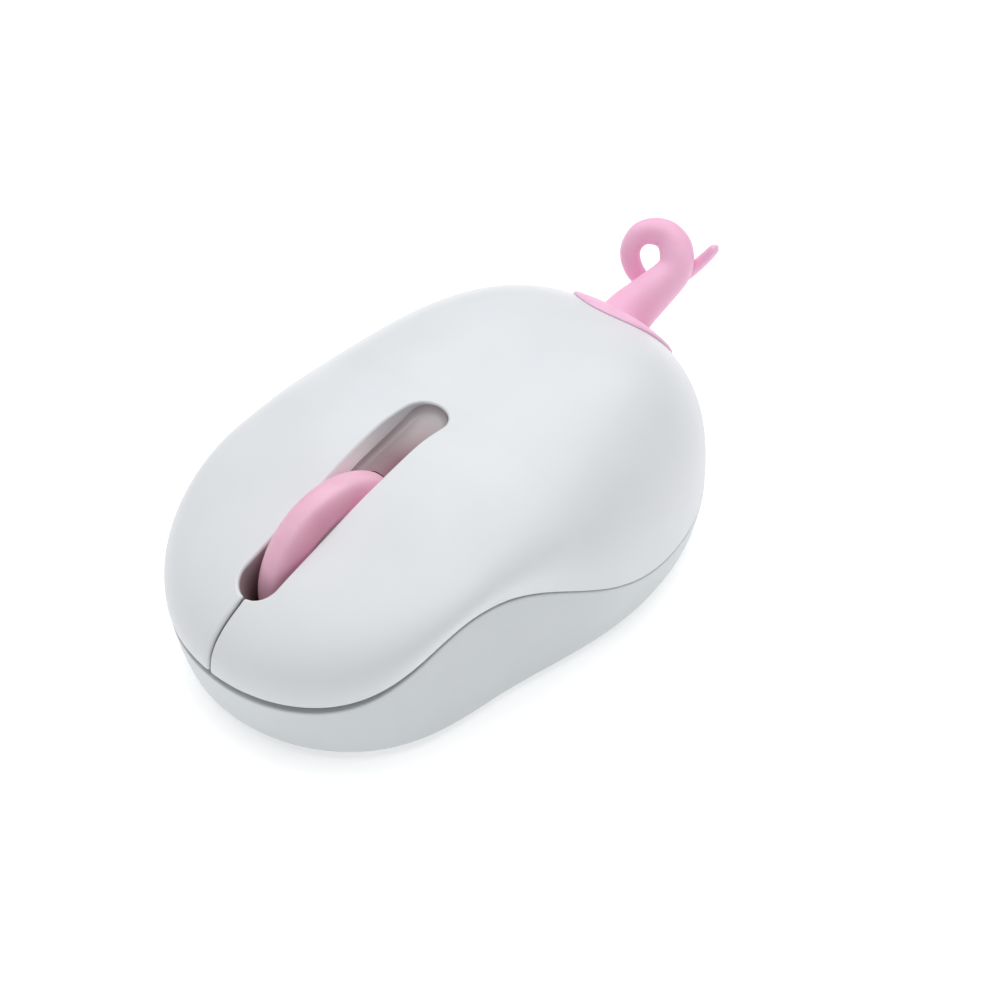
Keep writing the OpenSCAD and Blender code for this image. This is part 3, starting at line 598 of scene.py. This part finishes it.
def build_flange():
    m = 128
    prof = []                                   # radius, height over the shell
    prof.append((2.2, FLANGE_T)); prof.append((3.0, FLANGE_T))
    for r in np.linspace(3.0, FLANGE_R - 0.35, 12)[1:]:
        prof.append((r, FLANGE_T - 0.02 * (r - 3)))
    for ph in np.linspace(0, 90, 7)[1:]:
        p = math.radians(ph)
        prof.append((FLANGE_R - 0.35 + 0.35 * math.sin(p), FLANGE_T - 0.11 - 0.35 * (1 - math.cos(p))))
    prof.append((FLANGE_R, 0.12)); prof.append((FLANGE_R - 0.1, 0.03)); prof.append((FLANGE_R - 1.2, 0.03))
    rows = []
    for r, h in prof:
        ring = []
        for j in range(m):
            a = 2 * pi * j / m
            p, n = on_shell(r * math.cos(a), r * math.sin(a))
            ring.append(p + h * zt * 0.35 + h * unit(n) * 0.65)
        rows.append(ring)
    R = np.array(rows)
    o = make("tail_flange", R.reshape(-1, 3), grid_faces(len(prof), m, wrap=True))
    bm = bmesh.new(); bm.from_mesh(o.data); bmesh.ops.recalc_face_normals(bm, faces=bm.faces); bm.to_mesh(o.data); bm.free()
    # face outward
    me = o.data
    q = me.polygons[len(me.polygons) // 2]
    if Vector(q.normal).dot(Vector(zt)) < 0:
        me.flip_normals()
    return o


flange = build_flange()

# ---------------------------------------------------------------- slot floor behind the wheel
def slope_pt(l, d):
    """Point on the middle plane, l along the slot and d below its edge line."""
    return (SLOT_C[1] + l * math.cos(SLOT_A) + d * math.sin(SLOT_A), SLOT_C[2] + l * math.sin(SLOT_A) - d * math.cos(SLOT_A))


def build_well():
    """Trough behind the wheel: a plate that hugs the crowned wheel, then runs back under the slot, filleted to its walls."""
    END, FIL, FLOOR = SLOT_L / 2 - 0.02, 0.95, 1.5
    W = 3.22
    dy, dz = WHEEL_C[1] - SLOT_C[1], WHEEL_C[2] - SLOT_C[2]
    wl, wd = dy * math.cos(SLOT_A) + dz * math.sin(SLOT_A), dy * math.sin(SLOT_A) - dz * math.cos(SLOT_A)
    na = (math.sin(SLOT_A), -math.cos(SLOT_A))
    lc = END - W - 0.25

    def half(l):
        t = min(1.0, max(0.0, (l + 4) / 12))
        return W + 0.25 * t * t * (3 - 2 * t)

    def fillet(e):
        return FIL - math.sqrt(max(FIL * FIL - (FIL - max(e, 0.0)) ** 2, 0.0)) if e < FIL else 0.0

    q = np.concatenate([np.linspace(-1, -0.62, 12), np.linspace(-0.62, 0.62, 17)[1:-1], np.linspace(0.62, 1, 12)])
    K1, K2 = 36, 18
    ls = [(l, 0) for l in np.linspace(0, 1, K2)] + [(l, 1) for l in list(END - (END - 15.7) * (1 - np.sin(np.linspace(0.1, pi / 2, 20))))]
    top, bot = [], []
    for k in range(K1 + len(ls)):
        tr, br = [], []
        for t in q:
            if k < K1:
                x = W * t
                r = WHEEL_R - WHEEL_CROWN * abs(x / WHEEL_HW) ** WHEEL_P + 0.36 - 0.22 * k / K1
                h = min(wd - (FLOOR - fillet(W - abs(x))), r * 0.99)
                a1 = math.asin(h / r) + SLOT_A
                a = math.radians(-28) + (a1 - math.radians(-28)) * k / K1
                y, z, ny, nz = WHEEL_C[1] + r * math.cos(a), WHEEL_C[2] + r * math.sin(a), math.cos(a), math.sin(a)
                br.append((x, WHEEL_C[1] + (WHEEL_R + 1.6) * math.cos(min(a, math.radians(38))), WHEEL_C[2] + (WHEEL_R + 1.6) * math.sin(min(a, math.radians(38)))))
            else:
                f, far = ls[k - K1]
                w = half(f if far else 4 + 11.6 * f)
                W1 = w
                if far and f > lc: w = math.sqrt(max(W1 * W1 - (f - lc) ** 2, 0.0)) + 0.02
                x = w * t
                if far:
                    l = f
                    up = fillet(W1 - (math.hypot(x, l - lc) if l > lc else abs(x)))
                else:
                    r = WHEEL_R - WHEEL_CROWN * abs(x / WHEEL_HW) ** WHEEL_P + 0.14
                    up = fillet(W1 - abs(x))
                    h = min(wd - (FLOOR - up), r * 0.99)
                    l0 = wl + math.sqrt(r * r - h * h)
                    l = l0 + (15.6 - l0) * f
                d = FLOOR if l < 14 else 22 * math.cos(math.asin((l - 14) / 22)) - 22 + FLOOR
                y, z = slope_pt(l, d - up)
                by, bz = slope_pt(max(l, 9.5), d + 1.4)
                br.append((x, by, bz))
            tr.append((x, y, z))
        top.append(tr); bot.append(br)
    st = top
    K, M = len(st), len(q)
    v = np.array(top + bot).reshape(-1, 3)
    g = lambda s_, i, j: s_ * K * M + i * M + j
    f = []
    for i in range(K - 1):
        for j in range(M - 1):
            f.append((g(0, i, j), g(0, i, j + 1), g(0, i + 1, j + 1), g(0, i + 1, j)))
            f.append((g(1, i, j), g(1, i + 1, j), g(1, i + 1, j + 1), g(1, i, j + 1)))
        f.append((g(0, i, 0), g(0, i + 1, 0), g(1, i + 1, 0), g(1, i, 0)))
        f.append((g(0, i, M - 1), g(1, i, M - 1), g(1, i + 1, M - 1), g(0, i + 1, M - 1)))
    for j in range(M - 1):
        f.append((g(0, 0, j), g(1, 0, j), g(1, 0, j + 1), g(0, 0, j + 1)))
        f.append((g(0, K - 1, j), g(0, K - 1, j + 1), g(1, K - 1, j + 1), g(1, K - 1, j)))
    o = make("well_skin", v, f)
    lv = (v[:, 1] - SLOT_C[1]) * math.cos(SLOT_A) + (v[:, 2] - SLOT_C[2]) * math.sin(SLOT_A)
    # painted shade and painted pink reflection: the floor is darker and pinker towards the wheel and towards the +X
    # side
    set_shade(o, np.clip(np.clip((18.4 - lv) / 8.5, 0, 1) * (0.78 + 0.16 * v[:, 0]) + 0.12, 0, 1))
    bm = bmesh.new(); bm.from_mesh(o.data); bmesh.ops.recalc_face_normals(bm, faces=bm.faces); bm.to_mesh(o.data); bm.free()
    sharp_by_angle(o, 50)
    return o


well = build_well()

# ---------------------------------------------------------------- bevelled copies of the small CAD pieces
def bevelled(node, width, segments=3, angle=30, name=None):
    src = frame["nodes"][node]
    me = src.data.copy()
    o = bpy.data.objects.new(name or node + "_skin", me)
    bpy.context.scene.collection.objects.link(o)
    bm = bmesh.new(); bm.from_mesh(me)
    bmesh.ops.remove_doubles(bm, verts=bm.verts, dist=2e-6)
    bmesh.ops.dissolve_limit(bm, angle_limit=math.radians(1.0), verts=bm.verts, edges=bm.edges)
    bm.to_mesh(me); bm.free()
    if me.has_custom_normals:
        with bpy.context.temp_override(object=o, active_object=o):
            pass
    for a in list(me.attributes):
        if a.name == "custom_normal":
            me.attributes.remove(a)
    m = o.modifiers.new("bevel", "BEVEL"); m.width = width * MM; m.segments = segments; m.limit_method = "ANGLE"; m.angle_limit = math.radians(angle); m.harden_normals = False
    bpy.context.view_layer.update()
    dg = bpy.context.evaluated_depsgraph_get()
    new = bpy.data.meshes.new_from_object(o.evaluated_get(dg))
    o.modifiers.clear(); o.data = new; bpy.data.meshes.remove(me)
    sharp_by_angle(o, 40)
    return o


# ---------------------------------------------------------------- materials
def principled(name, **sock):
    m = bpy.data.materials.new(name); m.use_nodes = True
    nt = m.node_tree; b = nt.nodes["Principled BSDF"]
    for k, v in sock.items():
        b.inputs[k.replace("_", " ")].default_value = v
    return m, nt, b


def add(nt, kind, **props):
    n = nt.nodes.new(kind)
    for k, v in props.items():
        if k in n.inputs: n.inputs[k].default_value = v
        else: setattr(n, k, v)
    return n


def plastic(name, col, dark, rough, grain_mm=0.18, grain=0.012, cloud_mm=14.0, rough_var=0.06, wear=0.0, shade_colour=None, light_paint=None, **sock):
    """Moulded plastic: slow colour drift, fine moulded grain, uneven gloss, faint wear on raised edges."""
    m, nt, b = principled(name, **sock)
    tc = add(nt, "ShaderNodeTexCoord")
    big = add(nt, "ShaderNodeTexNoise"); big.inputs["Scale"].default_value = 1000 / cloud_mm; big.inputs["Detail"].default_value = 3
    nt.links.new(tc.outputs["Object"], big.inputs["Vector"])
    mix = add(nt, "ShaderNodeMix", data_type="RGBA"); mix.inputs[6].default_value = (*dark, 1); mix.inputs[7].default_value = (*col, 1)
    ramp = add(nt, "ShaderNodeMapRange"); ramp.inputs["From Min"].default_value = 0.35; ramp.inputs["From Max"].default_value = 0.62
    nt.links.new(big.outputs["Fac"], ramp.inputs["Value"]); nt.links.new(ramp.outputs["Result"], mix.inputs[0])
    out = mix.outputs[2]
    if shade_colour:                                # painted shade: base colour mixed towards a dark colour where the shade attribute is high
        at = add(nt, "ShaderNodeAttribute"); at.attribute_name = "shade"
        m2 = add(nt, "ShaderNodeMix", data_type="RGBA"); m2.inputs[7].default_value = (*shade_colour, 1)
        nt.links.new(at.outputs["Fac"], m2.inputs[0]); nt.links.new(out, m2.inputs[6]); out = m2.outputs[2]
    if light_paint:                                 # painted light: emission on the slot walls, strength from a per-vertex attribute
        ag = add(nt, "ShaderNodeAttribute"); ag.attribute_name = "light_paint"
        mg = add(nt, "ShaderNodeMath", operation="MULTIPLY"); mg.inputs[1].default_value = light_paint[3]
        nt.links.new(ag.outputs["Fac"], mg.inputs[0]); nt.links.new(mg.outputs[0], b.inputs["Emission Strength"])
        b.inputs["Emission Color"].default_value = (*light_paint[:3], 1)
    if wear:
        geo = add(nt, "ShaderNodeNewGeometry")
        wr = add(nt, "ShaderNodeMapRange"); wr.inputs["From Min"].default_value = 0.53; wr.inputs["From Max"].default_value = 0.6; wr.inputs["To Max"].default_value = wear
        nt.links.new(geo.outputs["Pointiness"], wr.inputs["Value"])
        w2 = add(nt, "ShaderNodeMix", data_type="RGBA"); w2.inputs[7].default_value = tuple(min(1, c * 1.25 + 0.04) for c in col) + (1,)
        nt.links.new(wr.outputs["Result"], w2.inputs[0]); nt.links.new(out, w2.inputs[6]); out = w2.outputs[2]
    nt.links.new(out, b.inputs["Base Color"])
    mid = add(nt, "ShaderNodeTexNoise"); mid.inputs["Scale"].default_value = 1000 / (cloud_mm * 0.25); mid.inputs["Detail"].default_value = 4
    nt.links.new(tc.outputs["Object"], mid.inputs["Vector"])
    rr = add(nt, "ShaderNodeMapRange"); rr.inputs["To Min"].default_value = rough - rough_var; rr.inputs["To Max"].default_value = rough + rough_var
    nt.links.new(mid.outputs["Fac"], rr.inputs["Value"]); nt.links.new(rr.outputs["Result"], b.inputs["Roughness"])
    fine = add(nt, "ShaderNodeTexVoronoi"); fine.inputs["Scale"].default_value = 1000 / grain_mm
    nt.links.new(tc.outputs["Object"], fine.inputs["Vector"])
    bp = add(nt, "ShaderNodeBump"); bp.inputs["Strength"].default_value = grain * 10; bp.inputs["Distance"].default_value = grain * MM
    nt.links.new(fine.outputs["Distance"], bp.inputs["Height"]); nt.links.new(bp.outputs["Normal"], b.inputs["Normal"])
    return m


def metal(name, col, rough, streak_mm=0.25):
    m, nt, b = principled(name, Metallic=1.0)
    tc = add(nt, "ShaderNodeTexCoord"); mp = add(nt, "ShaderNodeMapping"); mp.inputs["Scale"].default_value = (1, 0.06, 1)
    nt.links.new(tc.outputs["Object"], mp.inputs["Vector"])
    n = add(nt, "ShaderNodeTexNoise"); n.inputs["Scale"].default_value = 1000 / streak_mm; n.inputs["Detail"].default_value = 5
    nt.links.new(mp.outputs["Vector"], n.inputs["Vector"])
    mix = add(nt, "ShaderNodeMix", data_type="RGBA"); mix.inputs[6].default_value = tuple(c * 0.8 for c in col) + (1,); mix.inputs[7].default_value = (*col, 1)
    nt.links.new(n.outputs["Fac"], mix.inputs[0]); nt.links.new(mix.outputs[2], b.inputs["Base Color"])
    rr = add(nt, "ShaderNodeMapRange"); rr.inputs["To Min"].default_value = rough * 0.7; rr.inputs["To Max"].default_value = rough * 1.4
    nt.links.new(n.outputs["Fac"], rr.inputs["Value"]); nt.links.new(rr.outputs["Result"], b.inputs["Roughness"])
    bp = add(nt, "ShaderNodeBump"); bp.inputs["Strength"].default_value = 0.15; bp.inputs["Distance"].default_value = 0.01 * MM
    nt.links.new(n.outputs["Fac"], bp.inputs["Height"]); nt.links.new(bp.outputs["Normal"], b.inputs["Normal"])
    return m


# painted shade: shell_white turns dark reddish brown down the slot walls and in the split; painted light: a warm
# emission on the slot walls
SHELL = plastic("shell_white", (0.79, 0.812, 0.84), (0.77, 0.792, 0.82), 0.38, grain_mm=0.5, grain=0.004, shade_colour=(0.21, 0.095, 0.10), light_paint=(1.0, 0.94, 0.86, 0.17), Specular_IOR_Level=0.38, Coat_Weight=0.06, Coat_Roughness=0.2, Subsurface_Weight=0.06, Subsurface_Radius=(0.003, 0.003, 0.003), Subsurface_Scale=1.0)
BASEW = plastic("base_white", (0.685, 0.72, 0.738), (0.66, 0.695, 0.713), 0.40, grain_mm=0.5, grain=0.005, Specular_IOR_Level=0.45)
# painted light: the tail's pink material carries a faint pink emission that brightens the whole tail and flange
PINK = plastic("tail_pink", (0.905, 0.53, 0.715), (0.875, 0.475, 0.665), 0.50, grain_mm=0.16, grain=0.02, cloud_mm=6, Subsurface_Weight=0.25, Subsurface_Radius=(0.004, 0.002, 0.002), Subsurface_Scale=0.8, Sheen_Weight=0.15, Sheen_Roughness=0.5, Emission_Color=(0.95, 0.52, 0.72, 1), Emission_Strength=0.07)
WHEELP = plastic("wheel_pink", (0.90, 0.535, 0.675), (0.87, 0.49, 0.635), 0.42, grain_mm=0.12, grain=0.01, cloud_mm=5, shade_colour=(0.66, 0.16, 0.30), Subsurface_Weight=0.15, Subsurface_Radius=(0.003, 0.0015, 0.0015), Subsurface_Scale=0.6)
WELL = plastic("well_grey", (0.56, 0.54, 0.545), (0.53, 0.51, 0.515), 0.36, grain_mm=0.2, shade_colour=(0.205, 0.07, 0.10))
WHITEABS = plastic("white_abs", (0.72, 0.72, 0.71), (0.69, 0.69, 0.68), 0.42)
BLACK = plastic("black_plastic", (0.02, 0.02, 0.022), (0.014, 0.014, 0.015), 0.42, wear=0.4)
GREY = plastic("grey_plastic", (0.05, 0.052, 0.057), (0.04, 0.042, 0.046), 0.5, wear=0.3)
PCB = plastic("pcb_green", (0.012, 0.10, 0.035), (0.008, 0.07, 0.025), 0.3, cloud_mm=3)
REDP = plastic("red_plastic", (0.55, 0.03, 0.03), (0.5, 0.025, 0.025), 0.3)
CELL = plastic("cell_sleeve", (0.05, 0.16, 0.30), (0.04, 0.14, 0.27), 0.25)
FOOT = plastic("foot_ptfe", (0.035, 0.035, 0.037), (0.028, 0.028, 0.03), 0.55, wear=0.5)
CLEAR = plastic("clear_plastic", (0.9, 0.93, 0.95), (0.88, 0.91, 0.93), 0.08, Transmission_Weight=0.9, IOR=1.5)
STEEL = metal("steel", (0.60, 0.605, 0.61), 0.28)
MATS = {"shell_white": SHELL, "base_white": BASEW, "pink_soft": PINK, "well_grey": WELL, "white_abs": WHITEABS, "black_plastic": BLACK,
        "grey_plastic": GREY, "pcb_green": PCB, "red_plastic": REDP, "cell_sleeve": CELL, "foot_ptfe": FOOT, "clear_plastic": CLEAR, "steel": STEEL}


def dress(o, m):
    o.data.materials.clear(); o.data.materials.append(m)


slots = {s["node"]: s["material_slot"] for s in frame["record"]["subparts"]}
for name, o in frame["nodes"].items():
    for s in o.material_slots: s.material = MATS[slots[name]]
    if not o.material_slots: dress(o, MATS[slots[name]])

for o, m, body, slot, nodes in (
        (cover, SHELL, "base", "shell_white", ["top_cover"]),
        (base, BASEW, "base", "base_white", ["bottom_shell"]),
        (tyre, WHEELP, "wheel", "pink_soft", ["wheel_tyre"]),
        (tail, PINK, "base", "pink_soft", ["tail"]),
        (flange, PINK, "base", "pink_soft", []),
        (well, WELL, "base", "well_grey", ["wheel_well"])):
    dress(o, m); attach(o, body)
    if nodes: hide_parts(*nodes)
for o, body, node in ((left, "left_button", "button_left"), (right, "right_button", "button_right")):
    dress(o, SHELL)
    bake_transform(o, "base", body, start=(0, SEAM_Y * MM, 0.02), end=(0, -0.014, 0.02))
    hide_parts(node)

BODY_OF = {n: b for b, ns in frame["record"]["behaviour"]["bodies"].items() for n in ns}
for node, w in (("battery_door", 0.25), ("glide_foot_front", 0.2), ("glide_foot_rear", 0.2), ("receiver_cap", 0.3), ("power_slider", 0.15),
                ("wheel_carrier", 0.15), ("switch_left", 0.15), ("switch_right", 0.15), ("switch_middle", 0.15), ("optical_sensor", 0.1),
                ("case_screws", 0.12), ("receiver_plug", 0.12), ("controller_chip", 0.06), ("wheel_hub", 0.12)):
    o = bevelled(node, w)
    dress(o, MATS[slots[node]]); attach(o, BODY_OF[node]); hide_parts(node)

# ---------------------------------------------------------------- floor, light, camera
me = bpy.data.meshes.new("floor")
me.from_pydata([(-2, -2, -3e-5), (2, -2, -3e-5), (2, 2, -3e-5), (-2, 2, -3e-5)], [], [(0, 1, 2, 3)])
floor = bpy.data.objects.new("floor", me); bpy.context.scene.collection.objects.link(floor)
fm, nt, b = principled("floor_white", Roughness=0.9, Specular_IOR_Level=0.1)
b.inputs["Base Color"].default_value = (0.93, 0.93, 0.93, 1)
b.inputs["Emission Color"].default_value = (1, 1, 1, 1); b.inputs["Emission Strength"].default_value = 0.36
dress(floor, fm); floor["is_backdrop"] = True

world = bpy.data.worlds.new("w"); bpy.context.scene.world = world; world.use_nodes = True
world.node_tree.nodes["Background"].inputs[0].default_value = (1, 1, 1, 1)
world.node_tree.nodes["Background"].inputs[1].default_value = 0.32
bpy.context.scene.view_settings.view_transform = "Standard"


def area(name, loc, target, size, power, size_y=None):
    l = bpy.data.lights.new(name, "AREA"); l.energy = power; l.size = size
    if size_y: l.shape = "RECTANGLE"; l.size_y = size_y
    o = bpy.data.objects.new(name, l); o.location = loc
    o.rotation_euler = (Vector(target) - Vector(loc)).to_track_quat("-Z", "Y").to_euler()
    bpy.context.scene.collection.objects.link(o); o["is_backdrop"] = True
    return o


area("key", (-0.12, 0.13, 0.85), (0, 0, 0.02), 1.1, 7.8)

cam = bpy.data.cameras.new("cam"); cam.sensor_width = 36; cam.lens = 65.29; cam.clip_start = 0.01; cam.clip_end = 10
co = bpy.data.objects.new("cam", cam); bpy.context.scene.collection.objects.link(co)
loc, tgt = Vector((0.146035, -0.141273, 0.188103)), Vector((0.010431, -0.002737, 0.019674))
co.location = loc; co.rotation_euler = (tgt - loc).to_track_quat("-Z", "Y").to_euler()
bpy.context.scene.camera = co

last_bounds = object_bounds()


def plain(x):
    if isinstance(x, dict): return {k: plain(v) for k, v in x.items()}
    if isinstance(x, (list, tuple, Vector, np.ndarray)): return [plain(v) for v in x]
    return float(x) if isinstance(x, (int, float, np.floating, np.integer)) else x


{"cad": plain(first_bounds), "visual": plain(last_bounds)}
